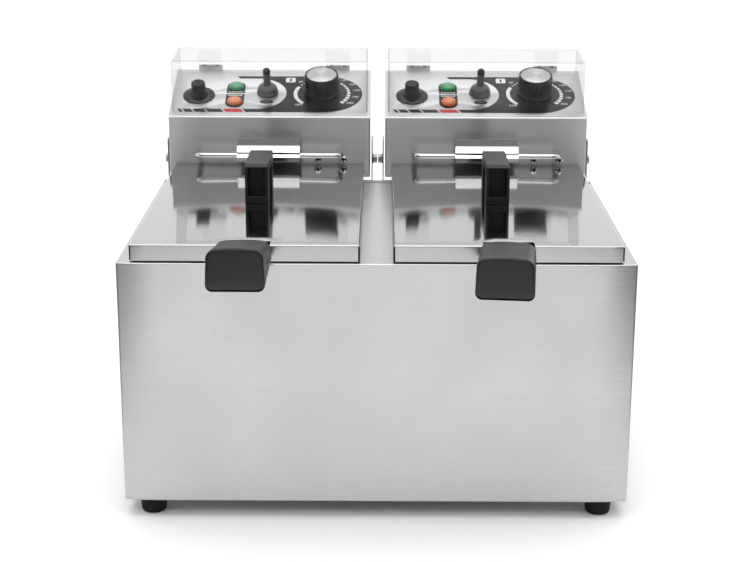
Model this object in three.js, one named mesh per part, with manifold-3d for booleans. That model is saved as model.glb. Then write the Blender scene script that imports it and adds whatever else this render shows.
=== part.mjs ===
// Twin-tank countertop deep fryer, millimetres, +Z up.
// Built in a working frame: X to the right, Y backwards from the casing's front, Z up from the
// table. At the end the group is shifted in Y, so that its origin is the centre of its footprint.
import * as THREE from 'three';
import { mergeVertices } from 'three/addons/utils/BufferGeometryUtils.js';
import Module from 'manifold-3d';

const wasm = await Module();
wasm.setup();

// ---- driving dimensions -------------------------------------------------------------------
const bodyWidth = 550;
const bodyDepth = 402;
const bodyHeight = 270;
const footHeight = 19;
const sheet = 1.2;                         // stainless sheet thickness
const gap = 0.3;                           // clearance between pieces that rest on each other
const deckZ = footHeight + bodyHeight;     // top of the casing
const unitOffset = 139;                    // each fryer unit's centre line, left and right

const tankHalfWidth = 106;
const tankFrontY = 24;
const tankRearY = 378;
const tankDepth = 200;
const tankCorner = 18;
const tankRim = 8;                         // flange that rests on the deck

const lidHalfWidth = 121.5;
const lidFrontY = 3;
const lidRearY = 405;
const lidTop = deckZ + 21;
const lidSkirtBottom = deckZ + 1.8;
const notchHalfWidth = 27;
const notchDepth = 17;

const lidHandleFrontY = 184;
const lidHandleRearY = 272;
const lidHandleHalfWidth = 13.5;
const lidHandleTop = deckZ + 67;
const lidHandleLeg = 22;
const lidHandleGapTop = deckZ + 54;

const basketHalfWidth = 95;
const basketFrontY = 40;
const basketRearY = 300;
const basketBottom = 152;
const basketTop = deckZ - 6;
const basketWall = 1.6;
const bracketHalfWidth = 15;
const bracketTop = deckZ + 11;

const gripHalfWidth = 30;
const gripEndY = -112;                     // front end of the basket grip
const gripShoulderY = -2;
const gripRootY = 12;
const gripBends = [                        // the grips hang with a little play: yaw, pitch in degrees
  { yaw: 0, pitch: 0 },
  { yaw: 5.9, pitch: 3.8 },
];

const headHalfWidth = 129.25;
const headFrontY = lidRearY + 4;
const headRearY = headFrontY + 114;
const headBottom = deckZ + 3;
const panelTilt = THREE.MathUtils.degToRad(20.9);
const panelLength = 121.2;                 // up the slope
const panelFrontZ = deckZ + 81.5;

const knobAt = { x: 65.7, s: 58.4 };       // places on the sloping panel: across, up the slope
const capAt = { x: -94.6, s: 50 };
const toggleAt = { x: -5.5, s: 60 };
const greenLampAt = { x: -47.2, s: 76 };
const orangeLampAt = { x: -47.2, s: 38 };
const knobHoleRadius = 5;
const toggleHoleRadius = 6.4;
const lampHoleRadius = 5;
const capHoleRadius = 5;

const coverHalfWidth = 126;
const coverWall = 2;
const coverFrontY = headFrontY + 10;
const hingeAxisY = headRearY + 1.5;
const hingeAxisZ = deckZ + 129;
const hingeSpread = 85;                    // hinges left and right of the head's centre
const hingeHalfWidth = 16;

const rodRadius = 3.5;
const rodHalfWidth = 91.5;
const rodY = headFrontY - 24;
const rodZ = deckZ + 36;
const plateHalfWidth = 40;
const plateTop = deckZ + 49.5;
const plateRise = 3.5;                      // the plate's top climbs towards the head's front
const plateBottom = deckZ + 29;
const plateFrontY = headFrontY - 30;
const plateThickness = 1.5;

const earTop = deckZ + 51;
const earRearY = headFrontY + 36;
const earOffset = 1.8;                     // space between a head's side and its ear
const pivotY = headFrontY + 18;
const pivotZ = deckZ + 24;

const elementRadius = 4;
const elementZ = deckZ - 172;
const elementLegZ = deckZ + 9;
const elementLegY = 360;

const glandLength = 16;

// ---- materials ----------------------------------------------------------------------------
const finish = (color, roughness, metalness, extra = {}) =>
  new THREE.MeshStandardMaterial({ color, roughness, metalness, ...extra });
const satinSteel = finish(0xc9cacb, 0.38, 1);
const brightSteel = finish(0xb9babb, 0.16, 1);
const wireSteel = finish(0xc4c5c6, 0.25, 1);
const blackPlastic = finish(0x1d1d1e, 0.55, 0);
const blackRubber = finish(0x161616, 0.8, 0);
const greyRubber = finish(0x3b3b3c, 0.7, 0);
const greenLens = finish(0x1f8f4a, 0.25, 0);
const orangeLens = finish(0xd8681c, 0.25, 0);
const clearPlastic = finish(0xf2f4f5, 0.08, 0, { transparent: true, opacity: 0.3 });
const darkElement = finish(0x6f7072, 0.4, 1);

// ---- geometry helpers ---------------------------------------------------------------------
const AXIS_X = new THREE.Vector3(1, 0, 0);
const AXIS_Y = new THREE.Vector3(0, 1, 0);
const AXIS_Z = new THREE.Vector3(0, 0, 1);

// A box from its lowest and highest corners.
function block(low, high) {
  const geometry = new THREE.BoxGeometry(high[0] - low[0], high[1] - low[1], high[2] - low[2]);
  return geometry.translate((low[0] + high[0]) / 2, (low[1] + high[1]) / 2, (low[2] + high[2]) / 2);
}

// A closed outline of [a, b] points.
function outline(points) {
  return new THREE.Shape(points.map(([a, b]) => new THREE.Vector2(a, b)));
}

// A rectangle with round corners, as a Shape or a Path.
function roundedRectangle(path, x0, y0, x1, y1, radius) {
  path.moveTo(x0 + radius, y0);
  path.lineTo(x1 - radius, y0);
  path.absarc(x1 - radius, y0 + radius, radius, -Math.PI / 2, 0, false);
  path.lineTo(x1, y1 - radius);
  path.absarc(x1 - radius, y1 - radius, radius, 0, Math.PI / 2, false);
  path.lineTo(x0 + radius, y1);
  path.absarc(x0 + radius, y1 - radius, radius, Math.PI / 2, Math.PI, false);
  path.lineTo(x0, y0 + radius);
  path.absarc(x0 + radius, y0 + radius, radius, Math.PI, Math.PI * 1.5, false);
  return path;
}

// A side profile of [y, z] points, extruded across X between -halfWidth and +halfWidth.
function sidePrism(points, halfWidth) {
  const geometry = new THREE.ExtrudeGeometry(outline(points), { depth: 2 * halfWidth, bevelEnabled: false });
  geometry.translate(0, 0, -halfWidth);
  return geometry.applyMatrix4(new THREE.Matrix4().makeBasis(AXIS_Y, AXIS_Z, AXIS_X));
}

// A flat shape in X and Y, extruded up from z0 to z1.
function upright(shape, z0, z1, curveSegments = 3) {
  const geometry = new THREE.ExtrudeGeometry(shape, { depth: z1 - z0, bevelEnabled: false, curveSegments });
  return geometry.translate(0, 0, z0);
}

// A turned piece about +Z from [radius, z] points that start and end on the axis.
function turned(points, segments = 24) {
  const profile = points.map(([r, z]) => new THREE.Vector2(r, z));
  return new THREE.LatheGeometry(profile, segments).rotateX(Math.PI / 2);
}

// A round bar along +X, between x0 and x1, centred on [y, z].
function barX(x0, x1, radius, y, z, segments = 16) {
  const geometry = new THREE.CylinderGeometry(radius, radius, x1 - x0, segments).rotateZ(Math.PI / 2);
  return geometry.translate((x0 + x1) / 2, y, z);
}

// A tube along straight runs whose corners are rounded by the bend radius.
function bentTube(corners, radius, bendRadius, sides, steps) {
  const points = corners.map((corner) => new THREE.Vector3(...corner));
  const path = new THREE.CurvePath();
  let from = points[0];
  for (let i = 1; i < points.length - 1; i += 1) {
    const into = points[i].clone().lerp(points[i - 1], bendRadius / points[i].distanceTo(points[i - 1]));
    const out = points[i].clone().lerp(points[i + 1], bendRadius / points[i].distanceTo(points[i + 1]));
    if (from.distanceTo(into) > 0.01) path.add(new THREE.LineCurve3(from, into));
    path.add(new THREE.QuadraticBezierCurve3(into, points[i], out));
    from = out;
  }
  path.add(new THREE.LineCurve3(from, points[points.length - 1]));
  const section = new THREE.Shape();
  section.absarc(0, 0, radius, 0, Math.PI * 2, false);
  const divisions = { extrudePath: path, steps, curveSegments: sides / 2, bevelEnabled: false };
  return new THREE.ExtrudeGeometry(section, divisions);
}

function toManifold(geometry) {
  const bare = geometry.clone();
  bare.deleteAttribute('normal');
  bare.deleteAttribute('uv');
  const merged = mergeVertices(bare, 1e-4);
  return new wasm.Manifold(new wasm.Mesh({
    numProp: 3,
    vertProperties: new Float32Array(merged.attributes.position.array),
    triVerts: new Uint32Array(merged.index.array),
  }));
}

function fromManifold(manifold) {
  const mesh = manifold.getMesh();
  const geometry = new THREE.BufferGeometry();
  geometry.setAttribute('position', new THREE.BufferAttribute(new Float32Array(mesh.vertProperties), 3));
  geometry.setIndex(new THREE.BufferAttribute(new Uint32Array(mesh.triVerts), 1));
  geometry.computeVertexNormals();
  return geometry;
}

const cut = (geometry, ...tools) =>
  fromManifold(tools.reduce((rest, tool) => rest.subtract(toManifold(tool)), toManifold(geometry)));
const join = (geometry, ...others) =>
  fromManifold(others.reduce((rest, other) => rest.add(toManifold(other)), toManifold(geometry)));
const common = (geometry, other) => fromManifold(toManifold(geometry).intersect(toManifold(other)));

function piece(parent, name, geometry, material) {
  const mesh = new THREE.Mesh(geometry, material);
  mesh.name = name;
  parent.add(mesh);
  return mesh;
}

// ---- casing -------------------------------------------------------------------------------
const fryer = new THREE.Group();

function addCasing() {
  const halfWidth = bodyWidth / 2;
  const hollow = block(
    [-halfWidth + sheet, sheet, footHeight - 1],
    [halfWidth - sheet, bodyDepth + 1, deckZ - sheet],
  );
  const wells = [-1, 1].map((side) => {
    const clearance = 0.5;
    const centre = side * unitOffset;
    const hole = roundedRectangle(
      new THREE.Shape(),
      centre - tankHalfWidth - clearance, tankFrontY - clearance,
      centre + tankHalfWidth + clearance, tankRearY + clearance,
      tankCorner,
    );
    return upright(hole, deckZ - 5, deckZ + 5);
  });
  const outer = block([-halfWidth, 0, footHeight], [halfWidth, bodyDepth, deckZ]);
  piece(fryer, 'body_shell', cut(outer, hollow, ...wells), satinSteel);

  // The rear panel closes the casing and folds forwards over the deck's rear edge.
  const rearHalf = halfWidth - sheet - gap;
  const foldDepth = 10;
  const foldTop = deckZ + 1.3;
  const rearPlate = block(
    [-rearHalf, bodyDepth + gap, footHeight + 2],
    [rearHalf, bodyDepth + gap + sheet, foldTop],
  );
  const fold = block(
    [-rearHalf, bodyDepth - foldDepth, deckZ + gap],
    [rearHalf, bodyDepth + gap + 0.5, foldTop],
  );
  piece(fryer, 'rear_panel', join(rearPlate, fold), satinSteel);

  const plateZ = footHeight + 2;
  piece(fryer, 'bottom_plate', block(
    [-rearHalf, sheet + gap, plateZ],
    [rearHalf, bodyDepth - gap, plateZ + sheet],
  ), satinSteel);

  const footX = 246;
  const footInset = 22;
  const footProfile = [
    [0, 0], [11.8, 0], [13.4, 1.4], [13.9, 4], [15.4, footHeight + 2 - gap], [0, footHeight + 2 - gap],
  ];
  for (const [row, y] of [['front', footInset], ['rear', bodyDepth - footInset]]) {
    for (const [side, x] of [['left', -footX], ['right', footX]]) {
      const foot = piece(fryer, `foot_${row}_${side}`, turned(footProfile, 20), blackRubber);
      foot.position.set(x, y, 0);
    }
  }
}

// ---- one fryer unit: tank, basket, lid and control head -------------------------------------
function addTank(unit, side) {
  const bottom = deckZ - tankDepth;
  const rimZ = deckZ + gap;
  const rim = roundedRectangle(
    new THREE.Shape(),
    -tankHalfWidth - tankRim, tankFrontY - tankRim, tankHalfWidth + tankRim, tankRearY + tankRim,
    tankCorner + 2,
  );
  const well = roundedRectangle(
    new THREE.Shape(), -tankHalfWidth, tankFrontY, tankHalfWidth, tankRearY, tankCorner,
  );
  const inside = roundedRectangle(
    new THREE.Shape(),
    -tankHalfWidth + sheet, tankFrontY + sheet, tankHalfWidth - sheet, tankRearY - sheet,
    tankCorner - sheet,
  );
  const outer = join(upright(well, bottom, rimZ + 0.6), upright(rim, rimZ, rimZ + sheet));
  piece(unit, `tank_${side}`, cut(outer, upright(inside, bottom + sheet, rimZ + 5)), brightSteel);
}

function addBasket(unit, side, bend) {
  const inner = block(
    [-basketHalfWidth + basketWall, basketFrontY + basketWall, basketBottom + basketWall],
    [basketHalfWidth - basketWall, basketRearY - basketWall, basketTop + 5],
  );
  const outer = block(
    [-basketHalfWidth, basketFrontY, basketBottom],
    [basketHalfWidth, basketRearY, basketTop],
  );
  piece(unit, `basket_${side}`, cut(outer, inner), wireSteel);

  // A bent steel strip carries the basket: up its front wall, then forwards over the tank's rim.
  const strip = 2;
  const frontY = basketFrontY - gap - strip;
  const stripEndY = gripRootY + 2;
  const bracket = sidePrism([
    [frontY, basketTop - 62], [frontY + strip, basketTop - 62], [frontY + strip, bracketTop],
    [stripEndY, bracketTop], [stripEndY, bracketTop - strip], [frontY, bracketTop - strip],
  ], bracketHalfWidth);
  piece(unit, `basket_bracket_${side}`, bracket, wireSteel);

  // The grip deepens towards its front end, and its root narrows into the lid's notch.
  const profile = sidePrism([
    [gripRootY, deckZ + 3], [gripRootY, deckZ + 20], [gripRootY - 4, deckZ + 23.5],
    [gripShoulderY - 10, deckZ + 26.5], [gripEndY + 8, deckZ + 46], [gripEndY + 2, deckZ + 45.5],
    [gripEndY, deckZ + 42], [gripEndY, deckZ + 7], [gripEndY + 3, deckZ + 2.7], [gripEndY + 9, deckZ + 1.2],
  ], gripHalfWidth + 5);
  const plan = outline([
    [-gripHalfWidth + 5, gripEndY], [gripHalfWidth - 5, gripEndY], [gripHalfWidth, gripEndY + 6],
    [gripHalfWidth, gripShoulderY - 4], [gripHalfWidth - 4, gripShoulderY],
    [notchHalfWidth - 4, gripShoulderY], [notchHalfWidth - 8, gripRootY],
    [-notchHalfWidth + 8, gripRootY], [-notchHalfWidth + 4, gripShoulderY],
    [-gripHalfWidth + 4, gripShoulderY], [-gripHalfWidth, gripShoulderY - 4],
    [-gripHalfWidth, gripEndY + 6],
  ]);
  const rootZ = bracketTop;
  const grip = common(profile, upright(plan, deckZ - 10, deckZ + 60)).translate(0, -gripRootY, -rootZ);
  const handle = piece(unit, `basket_handle_${side}`, grip, blackPlastic);
  handle.position.set(0, gripRootY, rootZ);
  handle.rotation.set(THREE.MathUtils.degToRad(bend.pitch), 0, THREE.MathUtils.degToRad(-bend.yaw), 'ZXY');
}

function addLid(unit, side) {
  const outer = block([-lidHalfWidth, lidFrontY, lidSkirtBottom], [lidHalfWidth, lidRearY, lidTop]);
  const wall = 1;
  const inside = block(
    [-lidHalfWidth + wall, lidFrontY + wall, lidSkirtBottom - 1],
    [lidHalfWidth - wall, lidRearY + 1, lidTop - wall],
  );
  const notch = block(
    [-notchHalfWidth, lidFrontY - 1, lidSkirtBottom - 1],
    [notchHalfWidth, lidFrontY + notchDepth, lidTop + 1],
  );
  piece(unit, `lid_${side}`, cut(outer, inside, notch), brightSteel);

  const handleBottom = lidTop + gap;
  const bridge = sidePrism([
    [lidHandleFrontY, handleBottom], [lidHandleFrontY + lidHandleLeg, handleBottom],
    [lidHandleFrontY + lidHandleLeg, lidHandleGapTop], [lidHandleRearY - lidHandleLeg, lidHandleGapTop],
    [lidHandleRearY - lidHandleLeg, handleBottom], [lidHandleRearY, handleBottom],
    [lidHandleRearY, lidHandleTop - 3], [lidHandleRearY - 3, lidHandleTop],
    [lidHandleFrontY + 3, lidHandleTop], [lidHandleFrontY, lidHandleTop - 3],
  ], lidHandleHalfWidth);
  const recessHalfWidth = 9.5;
  const recessDepth = 15;
  const recess = (y0, y1) => block(
    [-recessHalfWidth, y0, handleBottom + 8],
    [recessHalfWidth, y1, lidHandleTop - 4],
  );
  piece(unit, `lid_handle_${side}`, cut(
    bridge,
    recess(lidHandleFrontY - 1, lidHandleFrontY + recessDepth),
    recess(lidHandleRearY - recessDepth, lidHandleRearY + 1),
  ), blackPlastic);
}

function addHeadCasing(unit, side) {
  // Under the panel the housing's walls end just below the sloping plate.
  const underPanel = (y) => panelFrontZ + (y - headFrontY) * Math.tan(panelTilt)
    - (sheet + gap) / Math.cos(panelTilt);
  const outer = sidePrism([
    [headFrontY, headBottom], [headRearY, headBottom],
    [headRearY, underPanel(headRearY)], [headFrontY, underPanel(headFrontY)],
  ], headHalfWidth);
  const inner = sidePrism([
    [headFrontY + sheet, headBottom + sheet], [headRearY + 5, headBottom + sheet],
    [headRearY + 5, underPanel(headRearY) + 20], [headFrontY + sheet, underPanel(headFrontY) + 20],
  ], headHalfWidth - sheet);
  piece(unit, `head_housing_${side}`, cut(outer, inner), brightSteel);

  const coverHalf = headHalfWidth - sheet - gap;
  const rear = new THREE.Shape();
  roundedRectangle(rear, -coverHalf, headBottom + sheet + gap, coverHalf, underPanel(headRearY) - 0.5, 2);
  const slotCount = 6;
  for (let i = 0; i < slotCount; i += 1) {
    const slotX = (i - (slotCount - 1) / 2) * 16;
    const slot = new THREE.Path();
    roundedRectangle(slot, slotX - 2.5, headBottom + 45, slotX + 2.5, headBottom + 75, 2.4);
    rear.holes.push(slot);
  }
  const plate = upright(rear, 0, sheet, 1);
  plate.applyMatrix4(new THREE.Matrix4().makeBasis(AXIS_X, AXIS_Z, AXIS_Y.clone().negate()));
  plate.translate(0, headRearY, 0);
  piece(unit, `head_rear_cover_${side}`, plate, satinSteel);

  // The gland's moulded body and its clamping nut, with the bore for the supply cable.
  const gland = turned([
    [4, 0], [11, 0], [11, 5], [9, 6], [9, 14], [7.5, glandLength], [4, glandLength], [4, 0],
  ], 20);
  gland.rotateX(-Math.PI / 2);
  const glandX = -90;
  gland.translate(glandX, headRearY + gap, headBottom + 22);
  piece(unit, `cable_gland_${side}`, gland, blackPlastic);

  // A U-shaped bracket on the body's rear carries the head between two ears with pivot bolts.
  const earInner = headHalfWidth + earOffset;
  const earOuter = earInner + plateThickness;
  const backY = bodyDepth + sheet + 2 * gap;
  const web = block([-earOuter, backY, deckZ - 60], [earOuter, backY + plateThickness, deckZ]);
  const ears = [[-earOuter, -earInner], [earInner, earOuter]].map(([x0, x1]) => {
    const ear = sidePrism([
      [backY, deckZ - 60], [earRearY - 15, deckZ - 60], [earRearY, deckZ - 20],
      [earRearY, earTop - 8], [earRearY - 8, earTop], [backY + 12, earTop], [backY, earTop - 10],
    ], plateThickness / 2);
    return ear.translate((x0 + x1) / 2, 0, 0);
  });
  const boltEnd = 3;
  const bolts = [-1, 1].map((end) => {
    const x0 = end > 0 ? headHalfWidth + gap : -earOuter - boltEnd;
    const x1 = end > 0 ? earOuter + boltEnd : -headHalfWidth - gap;
    return barX(x0, x1, 3.5, pivotY, pivotZ, 12);
  });
  piece(unit, `head_bracket_${side}`, join(web, ...ears, ...bolts), satinSteel);
}

function addElement(unit, side) {
  const frontY = 60;
  const reach = 62;
  const inner = 21;
  const startY = headFrontY - gap;
  const corners = [
    [-reach, startY, elementLegZ], [-reach, elementLegY, elementLegZ], [-reach, elementLegY, elementZ],
    [-reach, frontY, elementZ], [-inner, frontY, elementZ], [-inner, elementLegY - 45, elementZ],
    [inner, elementLegY - 45, elementZ], [inner, frontY, elementZ], [reach, frontY, elementZ],
    [reach, elementLegY, elementZ], [reach, elementLegY, elementLegZ], [reach, startY, elementLegZ],
  ];
  piece(unit, `heating_element_${side}`, bentTube(corners, elementRadius, 14, 6, 88), darkElement);

  const bulbX = 0;
  const bulbY = elementLegY + 4;
  const capillary = [
    [bulbX, startY, elementLegZ], [bulbX, bulbY, elementLegZ], [bulbX, bulbY, elementZ + 14],
    [bulbX, bulbY - 90, elementZ + 14],
  ];
  piece(unit, `thermostat_bulb_${side}`, bentTube(capillary, 3, 10, 6, 22), brightSteel);
}

// Controls are placed in the panel's own frame: X across, Y up the slope, Z out of the panel.
function addControls(unit, side) {
  const panel = new THREE.Group();
  panel.position.set(0, headFrontY, panelFrontZ);
  panel.rotation.x = panelTilt;
  unit.add(panel);

  const plate = roundedRectangle(new THREE.Shape(), -headHalfWidth, 0, headHalfWidth, panelLength, 1.5);
  const holes = [
    [knobAt, knobHoleRadius], [capAt, capHoleRadius], [toggleAt, toggleHoleRadius],
    [greenLampAt, lampHoleRadius], [orangeLampAt, lampHoleRadius],
  ];
  for (const [place, radius] of holes) {
    const hole = new THREE.Path();
    hole.absarc(place.x, place.s, radius, 0, Math.PI * 2, true);
    plate.holes.push(hole);
  }
  piece(panel, `control_panel_${side}`, upright(plate, -sheet, 0, 6), satinSteel);

  const knob = piece(panel, `thermostat_knob_${side}`, turned([
    [0, 2.5], [21, 2.5], [22.4, 4], [23.2, 25], [22, 28.5], [19.5, 29.5], [0, 29.5],
  ], 28), blackPlastic);
  knob.position.set(knobAt.x, knobAt.s, 0);

  const thermostat = join(
    block([-21, -19, -32], [21, 19, -sheet - gap]),
    turned([[0, -10], [3, -10], [3, 2.2], [0, 2.2]], 12),
  );
  piece(panel, `thermostat_body_${side}`, thermostat, blackPlastic).position.set(knobAt.x, knobAt.s, 0);

  const cap = piece(panel, `reset_cap_${side}`, turned([
    [0, gap], [20, gap], [20.9, 1.2], [20.2, 2.4], [11.5, 3.2], [10.6, 4.2], [9.4, 8], [9.1, 19],
    [8, 20], [0, 20],
  ], 18), blackPlastic);
  cap.position.set(capAt.x, capAt.s, 0);

  const cutout = join(
    turned([[0, -24], [14, -24], [14, -sheet - gap], [0, -sheet - gap]], 16),
    turned([[0, -6], [4, -6], [4, 0], [0, 0]], 12),
  );
  piece(panel, `safety_cutout_${side}`, cutout, blackPlastic).position.set(capAt.x, capAt.s, 0);

  const toggleSwitch = join(
    turned([[0, -8], [6, -8], [6, gap], [14, gap], [14, 2.4], [12.6, 6], [7.6, 11], [6.4, 13], [0, 13]], 20),
    block([-8, -14, -30], [8, 14, -sheet - gap]),
  );
  piece(panel, `toggle_switch_${side}`, toggleSwitch, greyRubber).position.set(toggleAt.x, toggleAt.s, 0);

  // The lever rests leaning towards the front, on OFF, and rocks back about the switch's pivot.
  const pivotHeight = 8;
  const lever = piece(panel, `toggle_lever_${side}`, turned([
    [0, 6.6], [3, 6.8], [4.8, 8], [4.8, 20], [4.2, 27], [4.2, 29], [3, 31], [0, 31.6],
  ], 14), greyRubber);
  lever.position.set(toggleAt.x, toggleAt.s, pivotHeight);
  lever.rotation.x = THREE.MathUtils.degToRad(10);

  const lens = [[0, -18], [4.6, -18], [4.6, gap], [10, gap], [10, 2], [8.4, 4.6], [5, 6], [0, 6.5]];
  const lamps = [['green', greenLampAt, greenLens], ['orange', orangeLampAt, orangeLens]];
  for (const [colour, place, material] of lamps) {
    const lamp = piece(panel, `lamp_${colour}_${side}`, turned(lens, 18), material);
    lamp.position.set(place.x, place.s, 0);
  }
}

function addHanger(unit, side) {
  const wallY = headFrontY - gap;
  const rod = bentTube([
    [-rodHalfWidth, wallY, rodZ], [-rodHalfWidth, rodY, rodZ], [rodHalfWidth, rodY, rodZ],
    [rodHalfWidth, wallY, rodZ],
  ], rodRadius, 9, 8, 30);
  piece(unit, `hanger_rod_${side}`, rod, brightSteel);

  // The plate leaves the head's face, folds over the rod and turns down in front of it.
  const t = plateThickness;
  const plate = sidePrism([
    [wallY, plateTop + plateRise], [plateFrontY + 5, plateTop], [plateFrontY + 1.4, plateTop - 1.4],
    [plateFrontY, plateTop - 5], [plateFrontY, plateBottom], [plateFrontY + t, plateBottom],
    [plateFrontY + t, plateTop - 5.4], [plateFrontY + 5.4, plateTop - t],
    [wallY, plateTop + plateRise - t],
  ], plateHalfWidth);
  piece(unit, `hanger_plate_${side}`, plate, brightSteel);
}

function addSafetyCover(unit, side) {
  const panelZ = (y) => panelFrontZ + (y - headFrontY) * Math.tan(panelTilt);
  const frontTopZ = deckZ + 151.5;
  const rearTopZ = deckZ + 157;
  const rearTopY = headFrontY + 99;
  const rearFootY = headRearY - 7;
  const lift = 1;
  const outer = sidePrism([
    [coverFrontY, panelZ(coverFrontY) + lift], [rearFootY, panelZ(rearFootY) + lift],
    [rearTopY, rearTopZ], [coverFrontY, frontTopZ],
  ], coverHalfWidth);
  const w = coverWall;
  const inner = sidePrism([
    [coverFrontY + w, panelZ(coverFrontY) - 9], [rearFootY - w + 1.9, panelZ(rearFootY) - 9],
    [rearTopY - w, rearTopZ - w], [coverFrontY + w, frontTopZ - w],
  ], coverHalfWidth - w);
  piece(unit, `safety_cover_${side}`, cut(outer, inner), clearPlastic);

  for (const [end, sign] of [['a', -1], ['b', 1]]) {
    const x0 = sign * hingeSpread - hingeHalfWidth;
    const x1 = sign * hingeSpread + hingeHalfWidth;
    const barrel = barX(x0, x1, 2.7, hingeAxisY, hingeAxisZ, 12);
    const leaf = block([x0, headRearY + gap, hingeAxisZ - 28], [x1, headRearY + gap + 1.4, hingeAxisZ]);
    piece(unit, `cover_hinge_${side}_${end}`, join(barrel, leaf), brightSteel);
  }
}

addCasing();
for (const [index, side] of ['left', 'right'].entries()) {
  const unit = new THREE.Group();
  unit.position.x = index === 0 ? -unitOffset : unitOffset;
  fryer.add(unit);
  addTank(unit, side);
  addBasket(unit, side, gripBends[index]);
  addLid(unit, side);
  addHeadCasing(unit, side);
  addElement(unit, side);
  addControls(unit, side);
  addHanger(unit, side);
  addSafetyCover(unit, side);
}

// The origin is the centre of the footprint box, on the plane of the feet.
const footprint = new THREE.Box3().setFromObject(fryer, true);
fryer.position.y = -(footprint.min.y + footprint.max.y) / 2;

export default fryer;
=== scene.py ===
from math import atan2, ceil, cos, degrees, pi, radians, sin, tan, tau

import bmesh
import bpy
from mathutils import Matrix, Vector


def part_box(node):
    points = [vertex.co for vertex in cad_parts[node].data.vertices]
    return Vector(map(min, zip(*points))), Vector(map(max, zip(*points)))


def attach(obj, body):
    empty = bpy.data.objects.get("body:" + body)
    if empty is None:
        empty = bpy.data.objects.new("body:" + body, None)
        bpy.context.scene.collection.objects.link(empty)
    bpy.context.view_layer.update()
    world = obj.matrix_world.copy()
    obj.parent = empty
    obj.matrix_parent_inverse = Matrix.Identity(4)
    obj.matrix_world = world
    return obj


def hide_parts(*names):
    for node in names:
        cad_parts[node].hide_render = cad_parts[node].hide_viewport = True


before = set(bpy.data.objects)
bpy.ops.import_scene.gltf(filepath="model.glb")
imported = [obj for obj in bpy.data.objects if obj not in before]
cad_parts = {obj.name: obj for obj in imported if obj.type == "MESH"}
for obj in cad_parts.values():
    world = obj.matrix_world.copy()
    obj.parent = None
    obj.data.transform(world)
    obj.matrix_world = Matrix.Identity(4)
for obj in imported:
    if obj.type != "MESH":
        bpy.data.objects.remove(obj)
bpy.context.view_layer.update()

MM = 0.001
SHEET = 1.2
PANEL_TILT = radians(20.9)
GRAIN_MAP = "grain"
# A screw's two looks: its steel, and near-black painted shade for the inside of its cross recess.
SCREW_STEEL_AND_RECESS_SHADE = ("wire", "recess")

shell_low, shell_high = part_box("body_shell")
FRONT_Y = shell_low.y
DECK_Z = shell_high.z


# Small helpers
def rot(axis, angle):
    return Matrix.Rotation(radians(angle), 4, axis)


def shift(x, y, z):
    return Matrix.Translation((x, y, z))


def given(thing, **settings):
    """The thing, with its properties set."""
    for key, value in settings.items():
        setattr(thing, key, value)
    return thing


def modify(piece, kind, **settings):
    given(piece.modifiers.new(kind.lower(), kind), **settings)


def new_object(name, data):
    made = bpy.data.objects.new(name, data)
    bpy.context.scene.collection.objects.link(made)
    return made


def evaluated(thing):
    """A new mesh of an object as its modifiers or curve settings make it."""
    bpy.context.view_layer.update()
    return bpy.data.meshes.new_from_object(thing.evaluated_get(bpy.context.evaluated_depsgraph_get()))


def mesh_of(bm, name="part"):
    """A mesh of a bmesh, which is freed."""
    mesh = bpy.data.meshes.new(name)
    bm.to_mesh(mesh)
    bm.free()
    return mesh


def face_out(bm):
    bmesh.ops.recalc_face_normals(bm, faces=bm.faces)


class Part:
    """The casing or one fryer unit, whose boxes are in millimetres in its own frame."""

    def __init__(self, side=None):
        self.side = side
        low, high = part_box(f"lid_{side}") if side else (Vector(), Vector())
        self.place = shift((low.x + high.x) / 2, FRONT_Y, DECK_Z)

    def named(self, name):
        """The name, with a unit's side put into it or after it."""
        if not self.side:
            return name
        return name.format(self.side) if "{}" in name else f"{name}_{self.side}"

    def box(self, node):
        back = self.place.inverted()
        return [(back @ corner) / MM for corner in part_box(self.named(node))]

    def add(self, name, bm, look, replaces=None, body="casing", place=None, slot=None, bevel=0.0,
            sharp=None, solid=0.0, close=True):
        """Makes a piece from a bmesh in millimetres, in this part's frame or another place.

        bevel rounds its edges, sharp keeps those over that many degrees crisp, and solid gives a surface
        that thickness on its inside. A look is one material's name, or a tuple of them by face index.
        """
        name = self.named(name)
        if close:
            bmesh.ops.remove_doubles(bm, verts=bm.verts, dist=0.001)
            face_out(bm)
        bm.normal_update()
        lay_grain(bm)
        mesh = mesh_of(bm, name)
        mesh.transform(Matrix.Scale(MM, 4))
        mesh.polygons.foreach_set("use_smooth", [True] * len(mesh.polygons))
        if sharp:
            mesh.set_sharp_from_angle(angle=radians(sharp))
        looks = look if isinstance(look, tuple) else (look,)
        for one in looks:
            mesh.materials.append(MATERIALS[one])
        piece = new_object(name, mesh)
        piece.matrix_world = self.place if place is None else place
        if solid:
            modify(piece, "SOLIDIFY", thickness=solid * MM, offset=-1)
        if bevel:
            modify(piece, "BEVEL", width=bevel * MM, segments=3, angle_limit=radians(35))
        if bevel or solid:
            modify(piece, "WEIGHTED_NORMAL", keep_sharp=bool(sharp), weight=80)
        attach(piece, body if body == "casing" else self.named(body))
        if replaces:
            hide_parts(self.named(replaces))


def lay_grain(bm):
    """A map in metres whose V runs along the brushing: across X, or along Y on faces that look along X."""
    layer = bm.loops.layers.uv.new(GRAIN_MAP)
    for face in bm.faces:
        along = Vector((0, 1, 0)) if abs(face.normal.x) > 0.7 else Vector((1, 0, 0))
        across = face.normal.cross(along).normalized()
        for loop in face.loops:
            loop[layer].uv = (loop.vert.co.dot(across) * MM, loop.vert.co.dot(along) * MM)


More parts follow.
